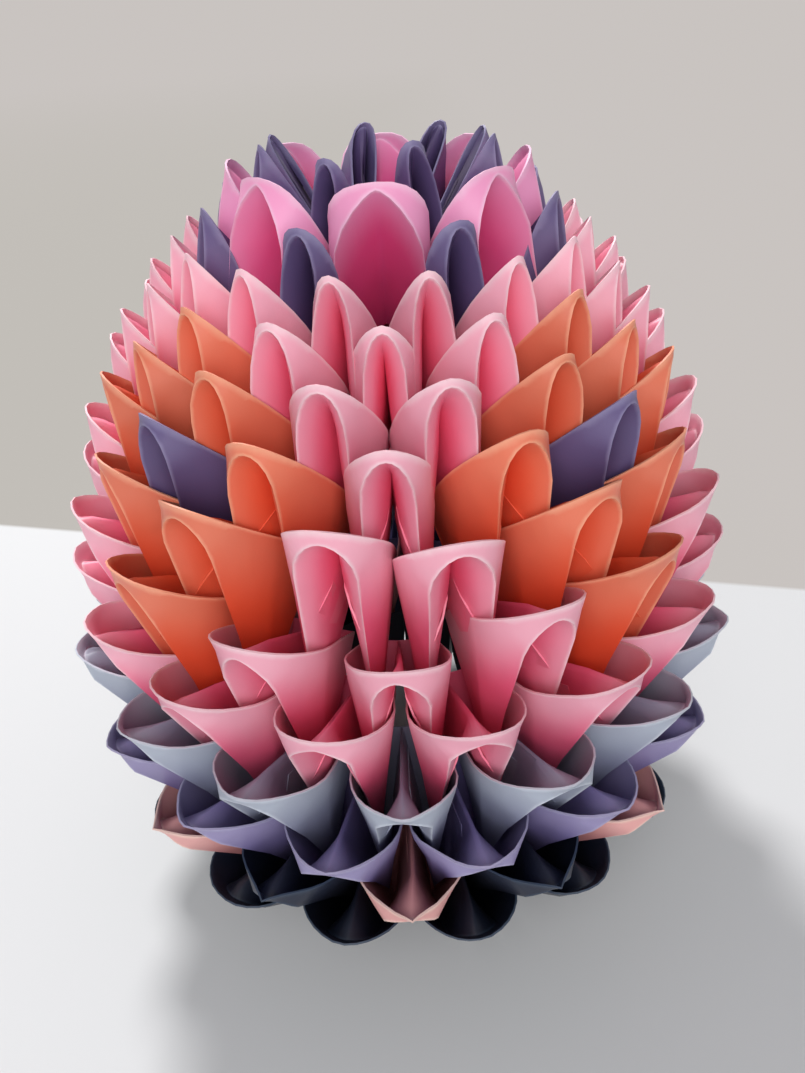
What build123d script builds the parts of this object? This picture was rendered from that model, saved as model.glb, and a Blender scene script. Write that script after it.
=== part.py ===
from build123d import *
from math import cos, radians, sin, tan
import os

# A hollow egg of folded paper units, standing by itself on its lowest points.
# Millimetres, +Z up, the axis of the egg is Z and the table is Z = 0.
# The side that faces the viewer is -Y.
#
# Every unit is one rectangle of paper folded to a right-angled triangle.
# Its short sides are unit_leg long. The fold along the top is the spine: it
# runs from the blunt outer tip, the brow, to the inner heel. On each side of
# the spine hangs one leg, a pocket that is open along the spine, closed along
# its two folds, and ends in a point. The two points of a unit sit in pockets
# of two neighbouring units in the ring below.

# The folded unit
unit_leg = 18.5          # from brow to heel, and from heel to point
sheet = 0.18             # wall of a pocket, two plies of paper
point_length = 1.4       # closed end of a leg below its pocket
spread_at = 12.0         # where the spine fold spreads to the brow, from the heel
side_at = 14.5           # where the lips turn in to the brow, from the heel

# Clearances
lip_gap = 0.16           # between the lips of neighbours in a ring

# Standing
foot_flat = 0.9          # how much of the lowest points is pressed flat

# Rings
half_count = 8           # units in each of the three rings at the top
full_count = 2 * half_count   # units in every other ring
bridge_inset = 0.65      # degrees from the hollow's edge in the second ring to the next half step
bridge_point = 1.52      # half steps from a spine of the second ring to its points
roof_depth = 0.5         # the roof between the legs of the second ring, at its heels


class Ring:
    # one ring of equal units, measured at the outer tips of their spines
    def __init__(self, name, units, turn, across, rise, tilt, hollow, brow, brow_depth, openness, *papers):
        self.name = name
        self.units = units              # how many stand in the ring
        self.turn = turn                # half steps that the first unit is turned
        # across is the diameter over the tips that each unit of a full ring brings
        self.radius = across * full_count / 2
        self.rise = rise                # tips above those of the ring below
        self.tilt = tilt                # degrees that the spines point upwards
        self.hollow = hollow            # half the width between the legs at the brow
        self.brow = brow                # half the width of the blunt tip
        self.brow_depth = brow_depth    # height of the band below the tip
        self.openness = openness        # how far the lips spread, 1 is to the neighbour
        self.papers = papers            # colours in turn, towards +X from the viewer's side


rings = [
    Ring("ring01", half_count, 2, 1.475, 3.0, 57.5, 0.8, 1.4, 0.8, 0.94, "purple"),
    Ring("ring02", half_count, 0, 1.8625, 2.9, 56.0, 3.0, 3.6, 1.2, 1.00, "magenta"),
    Ring("ring03", half_count, 2, 2.25, 2.9, 55.0, 0.9, 2.8, 1.0, 1.00, "purple"),
    Ring("ring04", full_count, 1, 2.6375, 3.1, 53.5, 1.4, 1.9, 1.2, 1.00, "pink"),
    Ring("ring05", full_count, 0, 3.0375, 3.6, 50.5, 1.6, 2.1, 1.3, 1.00, "pink", "pink", "orange", "pink"),
    Ring("ring06", full_count, 1, 3.425, 4.3, 47.5, 1.8, 2.3, 1.3, 1.00, "pink", "orange", "orange", "pink"),
    Ring("ring07", full_count, 0, 3.8, 5.6, 44.0, 2.2, 2.9, 1.4, 1.00, "pink", "orange", "purple", "orange"),
    Ring("ring08", full_count, 1, 4.1875, 7.9, 39.0, 2.5, 4.4, 1.5, 1.00, "pink", "orange", "orange", "pink"),
    Ring("ring09", full_count, 0, 4.6125, 10.2, 32.0, 2.5, 4.8, 1.8, 1.00, "pink", "pink", "orange", "pink"),
    Ring("ring10", full_count, 1, 4.9125, 7.9, 25.0, 2.5, 4.8, 2.2, 1.00, "pink"),
    Ring("ring11", full_count, 0, 5.125, 8.5, 20.0, 2.5, 4.2, 2.6, 1.00, "blue"),
    Ring("ring12", full_count, 1, 5.15, 7.8, 14.0, 2.5, 4.0, 2.6, 1.00, "lavender"),
    Ring("ring13", full_count, 0, 5.125, 9.0, 8.0, 2.5, 3.8, 2.6, 1.00, "peach", "navy"),
    Ring("ring14", full_count, 1, 4.8375, 0.0, 2.0, 2.5, 3.6, 2.4, 1.00, "navy"),
]

half_step = 180 / full_count       # degrees between a ring and the next
bridge = rings[1]                       # its units reach over one spine to the next

# Three units were pushed further into their pockets than the rest.
# The key is the ring and the number of the unit in it, from 0.
deeper = {("ring09", 0): 4.0, ("ring09", 15): 3.0, ("ring08", 0): 1.7}

# Heights, from the flattened points of the lowest ring upwards.
lowest = radians(rings[-1].tilt)
height = unit_leg * (sin(lowest) + cos(lowest)) - foot_flat
for ring in reversed(rings):
    height += ring.rise
    ring.height = height


def fold_unit(ring, sunk=0.0):
    """One folded unit of a ring, its spine in the plane of +X and Z."""
    tilt = radians(ring.tilt)
    heel_r = ring.radius - unit_leg * cos(tilt)
    heel_z = ring.height - unit_leg * sin(tilt)
    point_r = heel_r + unit_leg * sin(tilt)
    wide = ring is bridge
    # angles about the axis, from the spine to a leg's two walls and its point
    inside = radians(half_step - bridge_inset if wide else 0)
    reach = radians(2 * half_step if wide else half_step)
    middle = radians(bridge_point * half_step) if wide else reach * ring.openness / 2

    def inner(along):
        gap = lip_gap if wide else -sheet
        return (heel_r + along * cos(tilt)) * tan(inside) + gap / 2

    def lip(along):
        return ring.openness * ((heel_r + along * cos(tilt)) * tan(reach) - lip_gap / 2)

    up = Vector(-sin(tilt), 0, cos(tilt))
    rim = Plane(origin=(heel_r, 0, heel_z - sunk), x_dir=(cos(tilt), 0, sin(tilt)), z_dir=up)
    point_y = point_r * tan(middle)
    outline = [
        (0, inner(0)),
        (spread_at, inner(spread_at)),
        (unit_leg, ring.hollow),
        (unit_leg, ring.brow),
        (side_at, lip(side_at)),
        (0, lip(0)),
    ]

    with BuildPart() as unit:
        point = rim.from_local_coords((0, point_y, -unit_leg))
        with BuildSketch(rim) as mouth:
            with BuildLine():
                Polyline(*outline, close=True)
            make_face()
        loft(sections=[mouth.sketch, Vertex(*point)])
        with BuildSketch(rim) as opening:
            with BuildLine():
                Polyline(*outline, close=True)
            make_face()
            offset(amount=-sheet, kind=Kind.INTERSECTION, mode=Mode.REPLACE)
        mirror(about=Plane.XZ)
        # the band of the brow, from the middle of one leg's wall to the other's
        front = Plane(origin=rim.from_local_coords((unit_leg, 0, 0)), x_dir=(0, 1, 0),
                      z_dir=rim.x_dir - rim.z_dir)
        with BuildSketch(front) as band:
            top = ring.hollow + sheet / 2
            low = top + (point_y - top) * ring.brow_depth / unit_leg
            fall = -ring.brow_depth * 2 ** 0.5
            with BuildLine():
                Polyline((-top, 0), (top, 0), (low, fall), (-low, fall), close=True)
            make_face()
        if wide:
            # the legs of a bridge stand apart, so its spine is a roof to the heel
            with BuildSketch(Plane(origin=rim.origin, x_dir=(0, 1, 0), z_dir=rim.x_dir)) as heel:
                top = inner(0) + sheet / 2
                low = top + (point_y - top) * roof_depth / unit_leg
                with BuildLine():
                    Polyline((-top, 0), (top, 0), (low, -roof_depth), (-low, -roof_depth), close=True)
                make_face()
            loft(sections=[band.sketch, heel.sketch], ruled=True)
        else:
            loft(sections=[band.sketch, Vertex(*rim.from_local_coords((spread_at, 0, 0)))])
        with BuildPart(mode=Mode.PRIVATE) as hollow:
            # closed on the way from the point to the middle of the mouth
            halfway = side_at / 2
            centre = rim.from_local_coords((halfway, (inner(halfway) + lip(halfway)) / 2, 0))
            closed = point + (centre - point) * (point_length / unit_leg)
            loft(sections=[opening.sketch, Vertex(*closed)])
            mirror(about=Plane.XZ)
        add(hollow.part, mode=Mode.SUBTRACT)
    return unit.part


os.makedirs("parts", exist_ok=True)
for ring in rings:
    step = 360 / ring.units
    first = ring.turn * half_step - 90      # the side that faces the viewer is at -90
    plain = fold_unit(ring)
    units = {paper: [] for paper in ring.papers}
    for number in range(ring.units):
        sunk = deeper.get((ring.name, number))
        unit = fold_unit(ring, sunk) if sunk else plain
        paper = ring.papers[number % len(ring.papers)]
        units[paper].append(unit.rotate(Axis.Z, first + number * step))
    for paper, copies in units.items():
        name = ring.name + "_" + paper
        with BuildPart() as node:
            add(copies)
            split(bisect_by=Plane.XY, keep=Keep.TOP)
        node.part.label = name
        export_step(node.part, "parts/" + name + ".step")
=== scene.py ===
import bpy
import random
from math import cos, pi, radians, sin, tan
from mathutils import Matrix, Vector, noise
from mathutils.geometry import interpolate_bezier


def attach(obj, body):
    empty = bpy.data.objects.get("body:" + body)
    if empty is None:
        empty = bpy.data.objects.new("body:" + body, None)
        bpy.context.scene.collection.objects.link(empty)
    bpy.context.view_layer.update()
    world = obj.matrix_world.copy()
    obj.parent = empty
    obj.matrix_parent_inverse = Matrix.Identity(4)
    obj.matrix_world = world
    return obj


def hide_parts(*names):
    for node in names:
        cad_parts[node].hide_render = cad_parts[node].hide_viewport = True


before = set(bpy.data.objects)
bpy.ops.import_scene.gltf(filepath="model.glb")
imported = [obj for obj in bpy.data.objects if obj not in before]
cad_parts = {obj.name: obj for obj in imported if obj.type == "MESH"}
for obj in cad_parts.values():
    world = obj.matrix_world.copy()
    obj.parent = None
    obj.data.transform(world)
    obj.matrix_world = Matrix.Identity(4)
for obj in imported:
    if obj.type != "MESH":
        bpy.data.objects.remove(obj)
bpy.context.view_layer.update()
scene = bpy.context.scene
mm = 0.001

# Lengths are in millimetres here. Every unit is one rectangle of paper, folded to two legs
# that hang from a spine: the spine runs from the brow, its outer tip, in to the heel.
egg = {
    "leg": 18.5,            # brow to heel, and heel to point
    "paper": 0.2,           # two plies
    "halfStep": 11.25,      # degrees between a ring and the next
    "lipGap": 0.16,         # between the lips of neighbours
    "bridge": "ring02",     # its units reach over one spine to the next
    "bridgePoint": 17.1,    # degrees from its spines to its points
    "foot": "ring14",       # stands on the table
    "footFlat": 0.9,        # pressed flat at the lowest points
}
ringKeys = (
    "units",
    "turn",                 # half steps that the first unit is turned
    "radius",               # at the tips of the spines
    "rise",                 # tips above those of the ring below
    "tilt",                 # degrees that the spines point upwards
    "hollow",               # half the width between the legs, under the arch
    "arch",                 # height of the arch of the hollow
    "roundness",            # of the arch
    "band",                 # paper above the arch
    "brow",                 # half the width of the blunt tip
    "nose",                 # how far behind the tip it has that width
    "shoulder",             # where along the spine the rim turns back from the brow
    "widest",               # where along the spine the unit is widest
    "openness",             # how near the lips come to the neighbours'
    "dip",                  # how far the lips sink at the heel
)
ringTable = {
    "ring01": (8, 2, 11.8, 3.0, 57.5, 1.2, 3.4, 2.2, 0.35, 2.0, 0.0, 14.0, 7.0, 0.94, 0.0),
    "ring02": (8, 0, 14.9, 2.9, 56.0, 3.2, 3.4, 1.5, 0.45, 4.3, 0.0, 15.5, 9.0, 1.0, 0.0),
    "ring03": (8, 2, 18.0, 2.9, 55.0, 1.6, 3.4, 2.0, 0.45, 2.4, 0.0, 14.0, 8.0, 1.0, 7.0),
    "ring04": (16, 1, 21.1, 3.1, 53.5, 1.7, 4.0, 2.0, 0.40, 1.5, 0.0, 13.0, 7.0, 1.0, 0.0),
    "ring05": (16, 0, 24.3, 3.6, 50.5, 1.9, 3.6, 2.0, 0.45, 1.9, 0.0, 13.0, 7.0, 1.0, 0.0),
    "ring06": (16, 1, 27.4, 4.3, 47.5, 2.1, 3.2, 2.0, 0.50, 2.3, 0.0, 13.0, 7.0, 1.0, 0.0),
    "ring07": (16, 0, 30.4, 5.6, 44.0, 2.4, 3.0, 2.0, 0.75, 2.8, 0.0, 13.0, 7.0, 0.99, 0.0),
    "ring08": (16, 1, 33.5, 7.9, 39.0, 2.8, 2.6, 1.8, 1.00, 3.6, 0.0, 13.0, 8.0, 0.98, 0.0),
    "ring09": (16, 0, 36.9, 10.2, 32.0, 2.8, 2.7, 1.7, 1.20, 4.0, 0.0, 14.0, 9.0, 0.96, 0.0),
    "ring10": (16, 1, 39.3, 7.9, 25.0, 3.0, 1.8, 1.3, 1.20, 4.0, 0.0, 14.0, 9.0, 0.96, 0.0),
    "ring11": (16, 0, 41.0, 8.5, 20.0, 3.1, 1.1, 1.4, 1.05, 2.6, 0.0, 14.0, 9.5, 0.94, 0.0),
    "ring12": (16, 1, 41.2, 7.8, 14.0, 3.0, 1.3, 1.4, 1.00, 2.3, 0.3, 14.0, 9.5, 0.96, 0.0),
    "ring13": (16, 0, 41.0, 9.0, 8.0, 2.9, 1.6, 1.5, 1.20, 1.6, 1.5, 14.0, 10.0, 0.97, 0.0),
    "ring14": (16, 1, 38.7, 0.0, 2.0, 2.7, 1.8, 1.6, 1.20, 3.6, 0.0, 15.0, 10.5, 0.99, 0.0),
}
rings = {name: dict(zip(ringKeys, row)) for name, row in ringTable.items()}
papers = {                  # in turn round each ring, from the viewer's side towards +X
    "ring01": ["purple"],
    "ring02": ["magenta"],
    "ring03": ["purple"],
    "ring04": ["pink"],
    "ring05": ["pink", "pink", "orange", "pink"],
    "ring06": ["pink", "orange", "orange", "pink"],
    "ring07": ["pink", "orange", "purple", "orange"],
    "ring08": ["pink", "orange", "orange", "pink"],
    "ring09": ["pink", "pink", "orange", "pink"],
    "ring10": ["pink"],
    "ring11": ["blue"],
    "ring12": ["lavender"],
    "ring13": ["peach", "navy"],
    "ring14": ["navy"],
}

footTilt = radians(rings[egg["foot"]]["tilt"])
height = egg["leg"] * (sin(footTilt) + cos(footTilt)) - egg["footFlat"]
for ring in reversed(rings.values()):
    height += ring["rise"]
    ring["height"] = height
print("heights worked out, top", round(height, 2), "mm")


def deselectAll():
    bpy.ops.object.select_all(action="DESELECT")


def pick(chosen):
    deselectAll()
    for item in chosen:
        item.select_set(True)
    bpy.context.view_layer.objects.active = chosen[0]


def applyModifier(item, kind, **settings):
    modifier = item.modifiers.new(kind, kind)
    for key, value in settings.items():
        setattr(modifier, key, value)
    pick([item])
    bpy.ops.object.modifier_apply(modifier=modifier.name)


def closeSeams(reach):
    # merges what lies so near in the active mesh, and turns its faces outwards
    bpy.ops.object.mode_set(mode="EDIT")
    bpy.ops.mesh.select_all(action="SELECT")
    bpy.ops.mesh.remove_doubles(threshold=reach)
    bpy.ops.mesh.normals_make_consistent(inside=False)
    bpy.ops.object.mode_set(mode="OBJECT")


folding = {
    "rimFront": 9,          # points of the rim from the tip to its widest place
    "rimBack": 2,           # and on to the heel
    "archShares": (0.0, 0.03, 0.13, 0.33, 0.62, 1.0),   # down the arch of the hollow
    "waist": 0.45,          # share of the way from the arch to the point, one more corner
    "rows": (0.0, 0.12, 0.45, 1.0),                     # from the rim to the fold
    "spineShares": (0.0, 0.08, 0.3, 1.0),               # from the brow to the heel
    "droop": 0.3,           # share of the spine that rises from the hollow's top
    "ridge": 0.2,           # depth of the spine behind that, as a share of the hollow's top
    "bridgeCurl": 0.7,      # how much of its arch the bridge has lost at the heel
    "slim": 0.16,           # how much thinner a leg is inside its pocket
    "slimBetween": (0.24, 0.64),                        # share of the depth
    "mouthAt": 0.45,        # where along the spine the middle of a pocket's mouth is, a share
    "swell": 0.25,          # how much wider halfway where it stands on the table
    "seam": 0.01,           # mm, corners so near are one
    "mirrorSeam": 0.02,     # mm, and so near the middle
    "smoothUpTo": 35,       # degrees between faces
}
# The inner layer of a leg's wall. Its corners, upper and then lower, are shares of the way
# along the spine and down to the point.
flap = {
    "fromRise": 5.0,        # mm, a ring shows its flaps where it rises so far
    "columns": 2,
    "rows": 3,
    "edge": ((0.42, 0.12), (0.06, 0.40)),   # the slanting edge that shows
    "back": ((0.95, 0.12), (0.60, 0.40)),
    "lift": (0, -0.0588, -0.0126),          # mm, off the wall
}
# What the UV map says where it isn't measured: mm from the rim, which darkens the colour as painted
# shade, and mm from a fold, beside which the paper is paled, partly as rubbing and partly as painted
# highlight.
marks = {
    "far": 9.0,             # where no rim or fold is near, and the painted shade is deepest
    "hollow": 3.0,          # from the rim, at the fold of a hollow, so the hollow's side starts in painted shade
    "flap": 6.0,            # from the rim, all over a flap, which puts it deep in painted shade
    "flapEdge": 0.33,       # from a fold, at a flap's slanting edge, which is paled a little as rubbing and painted highlight
    "flapColumn": 3.0,      # and more with each column behind it
    "browPoints": 5,        # points of the rim, from the tip, that are paled further down, as rubbing and painted highlight
    "browShare": 0.45,      # because only this share of the way from the rim counts there
}


def foldedSheet(columns, rows, place):
    # a flat sheet, each crossing of its grid folded to its place; its UV map keeps how far
    # in mm each corner lies from the rim and from the nearest fold
    deselectAll()
    bpy.ops.mesh.primitive_grid_add(x_subdivisions=columns, y_subdivisions=rows, size=2, calc_uvs=True)
    sheet = bpy.context.object
    fromEdges = {}
    for vertex in sheet.data.vertices:
        column = round((vertex.co.x + 1) / 2 * columns)
        row = round((vertex.co.y + 1) / 2 * rows)
        vertex.co, fromEdges[vertex.index] = place(column, row)
    for loop in sheet.data.loops:
        sheet.data.uv_layers.active.data[loop.index].uv = fromEdges[loop.vertex_index]
    return sheet


def legLines(name, ring):
    # one leg lies along +X and +Y from the heel of the spine, its rim in the plane Z = 0:
    # the rim from the tip to the heel, the fold from the arch of the hollow down to the
    # point, the outer corner of the heel and the middle of the pocket's mouth
    leg = egg["leg"]
    tilt = radians(ring["tilt"])
    heelRadius = ring["radius"] - leg * cos(tilt)
    bridge = name == egg["bridge"]
    reach = radians(egg["halfStep"] * (2 if bridge else 1))
    middle = radians(egg["bridgePoint"]) if bridge else reach / 2

    def lip(x):
        return ((heelRadius + x * cos(tilt)) * tan(reach) - egg["lipGap"] / 2) * ring["openness"]

    tip = Vector((leg, 0, 0))
    brow = Vector((leg - ring["nose"], ring["brow"], 0))
    shoulder = Vector((ring["shoulder"], lip(ring["shoulder"]), 0))
    widest = Vector((ring["widest"], lip(ring["widest"]), -ring["dip"] / 2))
    heel = Vector((0, lip(0), -ring["dip"]))
    point = Vector((0, (heelRadius + leg * sin(tilt)) * tan(middle), -leg))
    mouthAt = leg * folding["mouthAt"]
    mouth = Vector((mouthAt, lip(mouthAt) / 2, 0))

    rim = interpolate_bezier(tip, brow, shoulder, widest, folding["rimFront"])
    for step in range(1, folding["rimBack"] + 1):
        rim.append(widest.lerp(heel, step / folding["rimBack"]))

    fold = []
    for share in folding["archShares"]:
        depth = ring["band"] + ring["arch"] * share
        spread = ring["hollow"] + (point.y - ring["hollow"]) * depth / leg
        across = (1 - (1 - share) ** ring["roundness"]) ** (1 / ring["roundness"])
        fold.append(Vector((leg - depth, spread * across, -depth)))
    fold.append(fold[-1].lerp(point, folding["waist"]))
    fold.append(point)
    return rim, fold, heel, mouth


def foldUnit(name, ring):
    leg = egg["leg"]
    rim, fold, heel, mouth = legLines(name, ring)
    top, point = fold[0], fold[-1]
    last = len(fold) - 1
    lastRow = len(folding["rows"]) - 1
    lastAlong = len(folding["spineShares"]) - 1
    shares = [(corner.z - top.z) / (point.z - top.z) for corner in fold]
    bulges = [corner - top.lerp(point, share) for corner, share in zip(fold, shares)]

    def slim(spot):
        depth = -spot.z / leg
        if name == egg["foot"]:
            return Vector((spot.x, spot.y * (1 + folding["swell"] * sin(pi * depth)), spot.z))
        start, end = folding["slimBetween"]
        inside = min(1, max(0, (depth - start) / (end - start)))
        return spot.lerp(mouth.lerp(point, depth), folding["slim"] * inside)

    def outerSkin(column, row):
        onRim, onFold = rim[column], fold[min(column, last)]
        spot = slim(onRim.lerp(onFold, folding["rows"][row]))
        # at the brow the pale band of rubbing and painted highlight reaches further from the rim
        wornAndHighlit = marks["browShare"] if column < marks["browPoints"] else 1
        return spot, ((spot - onRim).length * wornAndHighlit, (spot - onFold).length)

    def skinAt(along, share, bulge):
        # the hollow's side of the leg, bulged by its arch
        rise = max(0.0, 1 - along / folding["droop"]) ** 2
        spine = Vector((top.x * (1 - along), 0, top.z * max(rise, folding["ridge"])))
        curl = 1 - folding["bridgeCurl"] * along if name == egg["bridge"] else rise
        return slim(spine.lerp(point, share) + bulge * curl)

    def innerSkin(column, row):
        spot = skinAt(folding["spineShares"][column], shares[row], bulges[row])
        inside = (spot - slim(fold[row])).length
        # the hollow's side is darkened as painted shade, more the further it lies from the rim
        return spot, (min(marks["far"], marks["hollow"] + inside), inside)

    def heelSkin(column, row):
        inner = innerSkin(lastAlong, row)[0]
        outer = slim(heel.lerp(point, shares[row]))
        return inner.lerp(outer, column), (marks["far"], marks["far"])

    def flapSkin(column, row):
        down = row / flap["rows"]
        edge, back = (Vector(upper).lerp(Vector(lower), down)
                      for upper, lower in (flap["edge"], flap["back"]))
        along, share = edge.lerp(back, column / flap["columns"])
        after = next(i for i, reached in enumerate(shares) if reached >= share)
        step = (share - shares[after - 1]) / (shares[after] - shares[after - 1])
        bulge = bulges[after - 1].lerp(bulges[after], step)
        fromEdge = marks["flapEdge"] + column * marks["flapColumn"]
        return skinAt(along, share, bulge) + Vector(flap["lift"]), (marks["flap"], fromEdge)

    skins = [
        foldedSheet(len(rim) - 1, lastRow, outerSkin),
        foldedSheet(lastAlong, last, innerSkin),
        foldedSheet(1, last, heelSkin),
    ]
    if ring["rise"] > flap["fromRise"]:
        skins.append(foldedSheet(flap["columns"], flap["rows"], flapSkin))
    pick(skins)
    bpy.ops.object.join()
    unit = bpy.context.object
    unit.name = name
    closeSeams(folding["seam"])
    applyModifier(unit, "MIRROR", use_axis=(False, True, False), merge_threshold=folding["mirrorSeam"])
    closeSeams(folding["seam"])
    applyModifier(unit, "SOLIDIFY", thickness=egg["paper"], offset=-1, use_rim=True)
    return unit


loose = {                   # how far folding and pushing by hand leave a unit out of true
    "seed": 7,
    "along": 0.5,           # mm, waves of the rim along the spine
    "across": 0.45,         # mm, and across it
    "waveLength": 6.0,      # mm
    "waveRange": 99,        # each unit takes its waves from another place within this
    "turn": 0.35,           # degrees round the egg
    "height": 0.2,          # mm
    "fullAt": 41,           # mm from the axis; nearer to it the rings sit tighter
}
# Units that stand out. The keys are the ring and the number of the unit in it.
pushedDown = {              # mm
    ("ring01", 0): 0.5, ("ring01", 1): 1.2, ("ring01", 2): 1.5, ("ring01", 3): 1.5,
    ("ring01", 4): 1.5, ("ring01", 5): 1.5, ("ring01", 6): 1.2, ("ring01", 7): 1.6,
    ("ring08", 0): 1.7, ("ring09", 0): 4.0, ("ring09", 15): 3.0,
}
pressed = {                 # share of the width that is left where neighbours pressed it
    ("ring05", 0): 0.89, ("ring07", 0): 0.90, ("ring08", 15): 0.97, ("ring09", 0): 0.90,
    ("ring09", 1): 0.94, ("ring09", 15): 0.93, ("ring10", 0): 0.94, ("ring10", 15): 0.94,
    ("ring11", 0): 0.88,
}
turned = {("ring08", 0): -1.1, ("ring08", 15): 1.3}                         # degrees
leaning = {("ring01", 0): -1.4, ("ring01", 3): -2.5, ("ring01", 4): -3.3}   # mm at the tip


def placeUnit(unit, name, number, rand):
    # its own copy, bent a little and set in its ring
    ring = rings[name]
    which = (name, number)
    leg = egg["leg"]
    ease = (ring["radius"] / loose["fullAt"]) ** 2
    narrower = 1 - pressed.get(which, 1)
    lean = leaning.get(which, 0)
    copy = unit.copy()
    copy.data = unit.data.copy()
    scene.collection.objects.link(copy)
    start = Vector([rand.uniform(0, loose["waveRange"]) for axis in "xyz"])
    for vertex in copy.data.vertices:
        spot = vertex.co
        free = max(0.0, 1 + spot.z / leg)       # 1 at the rim, 0 at the point
        wave = noise.noise_vector(spot / loose["waveLength"] + start) * (1 + ease) / 2
        along = -abs(wave.x) * loose["along"]
        across = wave.y * loose["across"] - spot.y * narrower + lean * (spot.x / leg) ** 2
        vertex.co = spot + Vector((along, across, 0)) * free
    tone = copy.data.attributes.new("tone", "FLOAT", "FACE")
    tone.data.foreach_set("value", [rand.random()] * len(copy.data.polygons))

    # the side that faces the viewer is at -90 degrees
    turn = ring["turn"] * egg["halfStep"] + number * 360 / ring["units"] - 90
    turn += rand.uniform(-1, 1) * loose["turn"] * ease + turned.get(which, 0)
    sunk = rand.uniform(0, 1) * loose["height"] * ease + pushedDown.get(which, 0)
    tilt = radians(ring["tilt"])
    heelRadius = ring["radius"] - leg * cos(tilt)
    heelHeight = ring["height"] - leg * sin(tilt) - sunk
    copy.matrix_world = (
        Matrix.Scale(mm, 4)
        @ Matrix.Rotation(radians(turn), 4, "Z")
        @ Matrix.Translation((heelRadius, 0, heelHeight))
        @ Matrix.Rotation(-tilt, 4, "Y")
    )
    return copy


rand = random.Random(loose["seed"])
noise.seed_set(loose["seed"])       # else the waves differ from run to run
folded = []
for name, ring in rings.items():
    unit = foldUnit(name, ring)
    byPaper = {paper: [] for paper in papers[name]}
    for number in range(ring["units"]):
        paper = papers[name][number % len(papers[name])]
        byPaper[paper].append(placeUnit(unit, name, number, rand))
    bpy.data.objects.remove(unit)
    for paper, copies in byPaper.items():
        pick(copies)
        bpy.ops.object.join()
        piece = bpy.context.object
        bpy.ops.object.transform_apply(location=True, rotation=True, scale=True)
        bpy.ops.object.shade_smooth_by_angle(angle=radians(folding["smoothUpTo"]))
        piece.name = "folded_" + name + "_" + paper
        for vertex in piece.data.vertices:
            vertex.co.z = max(vertex.co.z, 0)   # pressed flat on the table
        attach(piece, "root")
        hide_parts(name + "_" + paper)
        folded.append((piece, paper))
    print(name, "folded,", ring["units"], "units,", len(piece.data.polygons), "faces in the last piece")


class Socket:
    # a shader socket that can be written in sums
    def __init__(self, tree, link):
        self.tree = tree
        self.link = link

    def node(self, kind, settings=None, inputs=None, output=0):
        made = self.tree.nodes.new(kind)
        for key, value in (settings or {}).items():
            setattr(made, key, value)
        for key, value in (inputs or {}).items():
            if isinstance(value, Socket):
                self.tree.links.new(value.link, made.inputs[key])
            else:
                made.inputs[key].default_value = value
        return Socket(self.tree, made.outputs[output])

    def sibling(self, output):
        # another output of the same node
        return Socket(self.tree, self.link.node.outputs[output])

    def work(self, operation, first, second):
        return self.node("ShaderNodeMath", {"operation": operation}, {0: first, 1: second})

    def __add__(self, other):
        return self.work("ADD", self, other)

    def __radd__(self, other):
        return self.work("ADD", other, self)

    def __sub__(self, other):
        return self.work("SUBTRACT", self, other)

    def __rsub__(self, other):
        return self.work("SUBTRACT", other, self)

    def __mul__(self, other):
        return self.work("MULTIPLY", self, other)

    def __rmul__(self, other):
        return self.work("MULTIPLY", other, self)


def objectPlace(tree):
    return Socket(tree, tree.nodes.new("ShaderNodeTexCoord").outputs["Object"])


def speckle(place, scale, detail, roughness=0.5):
    values = {"Vector": place, "Scale": scale, "Detail": detail, "Roughness": roughness}
    return place.node("ShaderNodeTexNoise", None, values)


def fade(value, ends, most=1.0):
    # eases from 0 at the first end to most at the second
    values = {"Value": value, "From Min": ends[0], "From Max": ends[1], "To Max": most}
    return value.node("ShaderNodeMapRange", {"interpolation_type": "SMOOTHSTEP"}, values)


def blendColours(factor, first, second):
    values = {"Factor": factor, "A": first, "B": second}
    return factor.node("ShaderNodeMix", {"data_type": "RGBA"}, values, output=2)


paperColours = {            # its own colour, the painted shade down in the folds, and the paler colour where it is rubbed and where painted highlight falls
    "purple": ((0.135, 0.10, 0.24), (0.050, 0.022, 0.085), (0.27, 0.24, 0.41)),
    "magenta": ((0.96, 0.37, 0.62), (0.88, 0.05, 0.25), (0.97, 0.60, 0.78)),
    "pink": ((0.94, 0.43, 0.54), (0.93, 0.10, 0.23), (0.97, 0.70, 0.75)),
    "orange": ((0.79, 0.19, 0.105), (0.86, 0.09, 0.03), (0.91, 0.42, 0.26)),
    "blue": ((0.41, 0.45, 0.54), (0.25, 0.26, 0.38), (0.62, 0.66, 0.74)),
    "lavender": ((0.30, 0.26, 0.46), (0.15, 0.12, 0.30), (0.43, 0.40, 0.58)),
    "peach": ((0.80, 0.39, 0.37), (0.45, 0.17, 0.18), (0.92, 0.68, 0.58)),
    "navy": ((0.014, 0.020, 0.042), (0.005, 0.006, 0.014), (0.040, 0.065, 0.11)),
}
paperLook = {
    "cloudScale": 90.0,     # noise scales, on a pattern in metres
    "dentScale": 210.0,
    "wearAndHighlightScale": 700.0,
    "fibreScale": 2600.0,
    "paintedShadeBetween": (0.6, 9.0),   # mm from the rim, over which painted shade darkens the colour
    "paintedShadeMost": 0.88,        # share of the painted shade colour at most
    "wearAndHighlightBetween": (0.54, 0.1),  # mm from a rim or a fold, none to all of the pale colour of rubbing and painted highlight
    "wearAndHighlightUneven": 0.25,      # mm
    "wearAndHighlightStrength": 0.75,
    "tone": 0.30,           # how much lighter or darker paper is than other paper
    "cloudTone": 0.6,       # share of it within a sheet
    "sheetTone": 0.4,       # share of it from sheet to sheet
    "roughness": 0.36,
    "cloudRoughness": 0.14,
    "rubRoughness": 0.12,
    "fibreRelief": 0.10,    # beside the dents
    "reliefStrength": 0.35,
    "reliefDepth": 0.0004,  # metres
}


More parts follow.
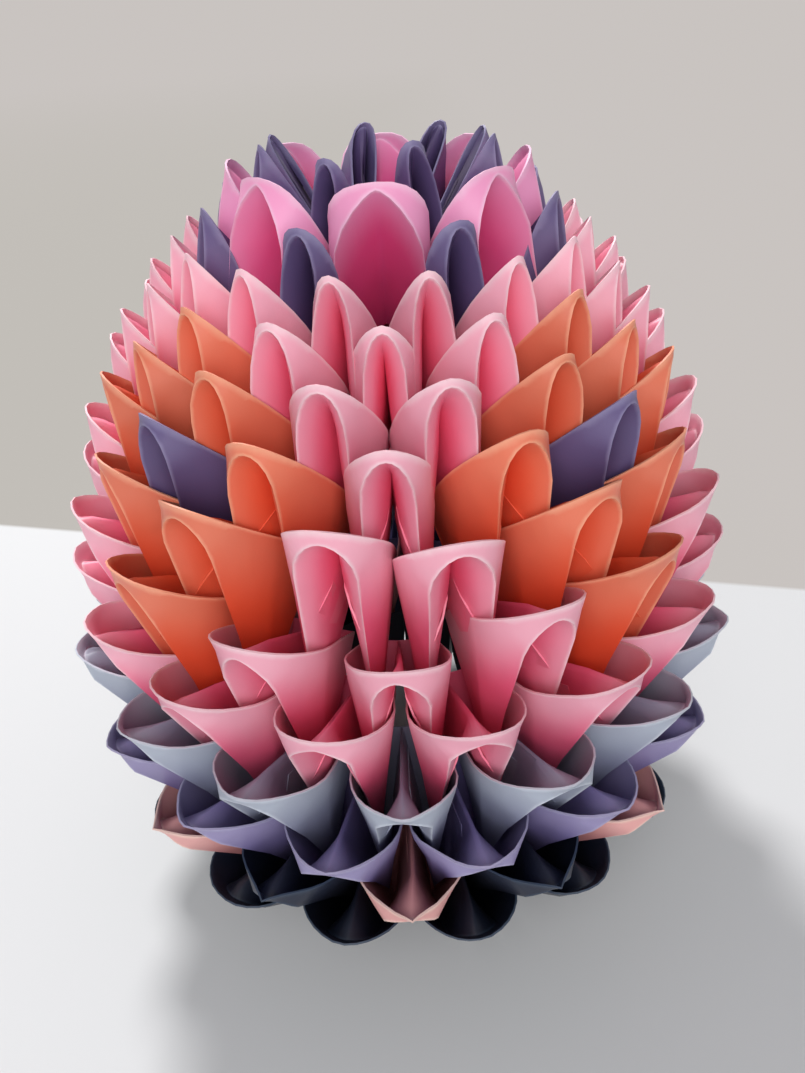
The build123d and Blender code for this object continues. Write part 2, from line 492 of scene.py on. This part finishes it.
def paperMaterial(name, colour, shadeColour, wearAndHighlightColour):
    material = bpy.data.materials.new(name + "_paper")
    material.use_nodes = True
    tree = material.node_tree
    shader = tree.nodes["Principled BSDF"]
    place = objectPlace(tree)
    cloud = speckle(place, paperLook["cloudScale"], 3.0)
    dents = speckle(place, paperLook["dentScale"], 2.0)
    uneven = speckle(place, paperLook["wearAndHighlightScale"], 3.0)
    fibre = speckle(place, paperLook["fibreScale"], 4.0, 0.7)
    sheetTone = place.node("ShaderNodeAttribute", {"attribute_name": "tone"}, output=2)

    # painted shade: deeper in colour down in the folds; and paler where a rim or a fold is rubbed and
    # where painted highlight falls on it
    marked = Socket(tree, tree.nodes.new("ShaderNodeUVMap").outputs[0])
    fromRim = marked.node("ShaderNodeSeparateXYZ", None, {"Vector": marked})
    fromFold = fromRim.sibling(1)
    nearest = fromRim.work("MINIMUM", fromRim, fromFold)
    wearAndHighlight = fade(nearest + paperLook["wearAndHighlightUneven"] * uneven, paperLook["wearAndHighlightBetween"])
    down = fade(fromRim, paperLook["paintedShadeBetween"], paperLook["paintedShadeMost"])
    hue = blendColours(down, (*colour, 1), (*shadeColour, 1))
    tone = paperLook["cloudTone"] * cloud + paperLook["sheetTone"] * sheetTone - 0.5
    shade = hue.node("ShaderNodeHueSaturation", None, {"Color": hue, "Value": 1 + paperLook["tone"] * tone})
    wornAndHighlit = blendColours(paperLook["wearAndHighlightStrength"] * wearAndHighlight, shade, (*wearAndHighlightColour, 1))
    tree.links.new(wornAndHighlit.link, shader.inputs["Base Color"])

    roughness = paperLook["roughness"] + paperLook["cloudRoughness"] * cloud + paperLook["rubRoughness"] * wearAndHighlight
    tree.links.new(roughness.link, shader.inputs["Roughness"])
    relief = dents + paperLook["fibreRelief"] * fibre
    bump = relief.node("ShaderNodeBump", None, {
        "Strength": paperLook["reliefStrength"], "Distance": paperLook["reliefDepth"], "Height": relief})
    tree.links.new(bump.link, shader.inputs["Normal"])
    return material


materials = {name: paperMaterial(name, *colours) for name, colours in paperColours.items()}
for piece, paper in folded:
    piece.data.materials.clear()
    piece.data.materials.append(materials[paper])
print("papers made:", len(materials))

# the plain studio, in metres: a pale table that turns to the wall's grey, and soft lamps
studio = {
    "table": (0.74, 0.74, 0.745),
    "tableRoughness": 0.8,
    "tableSize": 6,
    "wallLeft": (0.54, 0.515, 0.48),
    "wallRight": (0.585, 0.55, 0.53),
    "wallAcross": 0.2,          # over which the left grey turns to the right one
    "wallBehind": 0.0594,       # from the egg's axis, where the pale table ends
    "wallEdge": 0.0006,         # half the width of that line
    "wallTurn": 12.0,           # degrees
    "far": (0.20, 0.45),        # from the egg, where the table fades to grey all round
    "horizon": (0.20, 1.80),    # and where its greys turn to the right one
    "sky": (0.93, 0.96, 1.0),
    "skyStrength": 0.32,
}


def seenRays(tree):
    # 1 for rays that show a thing as it looks, 0 for rays that carry its light
    path = tree.nodes.new("ShaderNodeLightPath")
    camera, glossy, clear = (Socket(tree, path.outputs[name]) for name in
                             ("Is Camera Ray", "Is Glossy Ray", "Is Transmission Ray"))
    return camera.work("MINIMUM", camera + glossy + clear, 1.0)


def tableMaterial():
    material = bpy.data.materials.new("pale_table")
    material.use_nodes = True
    tree = material.node_tree
    shader = tree.nodes["Principled BSDF"]
    shader.inputs["Base Color"].default_value = (*studio["table"], 1)
    shader.inputs["Roughness"].default_value = studio["tableRoughness"]
    place = objectPlace(tree)
    across = place.node("ShaderNodeSeparateXYZ", None, {"Vector": place})
    behind = across.sibling(1)
    turn = radians(studio["wallTurn"])
    beyond = place.node("ShaderNodeMapRange", None, {
        "Value": behind * cos(turn) + across * sin(turn),
        "From Min": studio["wallBehind"] - studio["wallEdge"],
        "From Max": studio["wallBehind"] + studio["wallEdge"]})
    fromEgg = place.node("ShaderNodeVectorMath", {"operation": "LENGTH"}, {0: place}, output=1)
    distant = fade(fromEgg, studio["far"])
    towardsRight = across * (1 / studio["wallAcross"]) + 0.5
    rightGrey = across.work("MAXIMUM", towardsRight, fade(fromEgg, studio["horizon"]))
    greys = blendColours(rightGrey, (*studio["wallLeft"], 1), (*studio["wallRight"], 1))
    wall = place.node("ShaderNodeEmission", None, {"Color": greys})
    showsWall = beyond.work("MAXIMUM", beyond, distant) * seenRays(tree)
    plain = Socket(tree, shader.outputs[0])
    both = place.node("ShaderNodeMixShader", None, {0: showsWall, 1: plain, 2: wall})
    tree.links.new(both.link, tree.nodes["Material Output"].inputs["Surface"])
    return material


deselectAll()
bpy.ops.mesh.primitive_plane_add(size=studio["tableSize"], location=(0, 0, 0))
table = bpy.context.object
table.name = "table"
bpy.ops.object.transform_apply(location=True, rotation=True, scale=True)
table.data.materials.append(tableMaterial())

lampList = [
    # name, size, power, place, aim
    ("key", 0.11, 2.3, (-0.13, 0.32, 0.46), (0, 0, 0.04)),
    ("fill", 0.50, 1.0, (-0.06, -0.43, 0.45), (0, 0, 0.06)),
    ("front", 0.50, 1.2, (0.03, -0.56, 0.27), (0, 0, 0.05)),
]
for name, size, power, place, aim in lampList:
    deselectAll()
    bpy.ops.object.light_add(type="AREA", location=place)
    lamp = bpy.context.object
    lamp.name = name + "_lamp"
    lamp.data.shape = "DISK"
    lamp.data.size = size
    lamp.data.energy = power
    lamp.rotation_euler = (Vector(aim) - Vector(place)).to_track_quat("-Z", "Y").to_euler()

world = bpy.data.worlds.new("studio")
scene.world = world
world.use_nodes = True
sky = world.node_tree.nodes["Background"]
sky.inputs["Color"].default_value = (*studio["sky"], 1)
sky.inputs["Strength"].default_value = studio["skyStrength"]
seen = seenRays(world.node_tree)
backdrop = seen.node("ShaderNodeBackground", None, {"Color": (*studio["wallRight"], 1), "Strength": 1.0})
plainSky = Socket(world.node_tree, sky.outputs[0])
skyMix = seen.node("ShaderNodeMixShader", None, {0: seen, 1: plainSky, 2: backdrop})
world.node_tree.links.new(skyMix.link, world.node_tree.nodes["World Output"].inputs["Surface"])
print("studio set")

# the photograph's camera
view = {
    "place": (0.61, -85.8, 104.2),  # mm
    "down": 33.9,                   # degrees
    "roll": -2.8,
    "round": 0.62,                  # degrees round the egg
    "focal": 798,                   # in pixels of the frame
    "frame": (805, 1073),
    "sensor": 36,                   # mm, along the longer side
    "near": 0.005,                  # m
}
deselectAll()
bpy.ops.object.camera_add()
camera = bpy.context.object
camera.name = "photo_camera"
camera.matrix_world = (
    Matrix.Rotation(radians(view["round"]), 4, "Z")
    @ Matrix.Translation(Vector(view["place"]) * mm)
    @ Matrix.Rotation(radians(90 - view["down"]), 4, "X")
    @ Matrix.Rotation(radians(view["roll"]), 4, "Z")
)
camera.data.sensor_width = view["sensor"]
camera.data.lens = view["sensor"] * view["focal"] / max(view["frame"])
camera.data.clip_start = view["near"]
scene.camera = camera
scene.view_settings.view_transform = "Standard"
print("camera set")

deselectAll()
